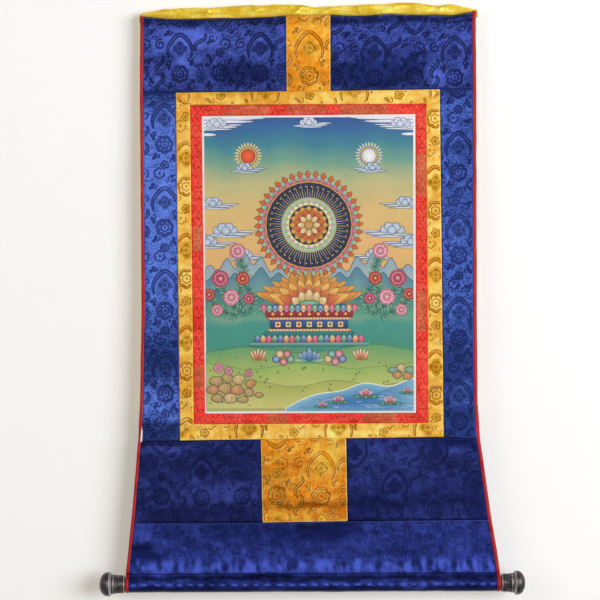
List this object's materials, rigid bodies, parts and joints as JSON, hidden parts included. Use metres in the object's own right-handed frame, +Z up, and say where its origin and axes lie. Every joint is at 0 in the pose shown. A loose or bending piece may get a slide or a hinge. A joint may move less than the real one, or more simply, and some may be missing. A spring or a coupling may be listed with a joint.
{
  "type": "thangka scroll painting with roller",
  "caption": "Hanging scroll: a painted panel in gold and red borders on a blue brocade mount, with a thin yellow cover bunched above it and a roller with turned end caps.",
  "frame": {"origin": "middle of the scroll's top edge, in the middle of the cloth's thickness, where a cord or nail holds it", "axes": "+Z up, -Y out of the painted front, +X to the right of someone who looks at the front"},
  "size_m": [0.5925, 0.0342, 0.8247],
  "materials": {
    "blue_brocade": "royal blue silk damask, tone on tone, satin",
    "gold_brocade": "gold silk brocade with brown outlines, satin",
    "red_brocade": "red silk brocade with gold thread, satin",
    "painted_canvas": "painted cotton canvas, matt",
    "red_piping": "folded red edging, low sheen",
    "yellow_silk": "thin crumpled yellow silk",
    "roller_wood": "plain turned wood",
    "dark_pewter": "dark worn pewter with bright ridges"
  },
  "bodies": {
    "root": {"blue_top_left": "blue_brocade", "blue_top_right": "blue_brocade", "blue_side_left": "blue_brocade", "blue_side_right": "blue_brocade", "blue_lower_left": "blue_brocade", "blue_lower_right": "blue_brocade", "blue_foot_panel": "blue_brocade", "gold_top_strip": "gold_brocade", "gold_lower_panel": "gold_brocade", "gold_frame_top": "gold_brocade", "gold_frame_foot": "gold_brocade", "gold_frame_left": "gold_brocade", "gold_frame_right": "gold_brocade", "red_frame_top": "red_brocade", "red_frame_foot": "red_brocade", "red_frame_left": "red_brocade", "red_frame_right": "red_brocade", "painted_canvas": "painted_canvas", "piping_left": "red_piping", "piping_right": "red_piping", "silk_cover": "yellow_silk", "roller_rod": "roller_wood", "roller_cap_left": "dark_pewter", "roller_cap_right": "dark_pewter"}
  },
  "joints": []
}
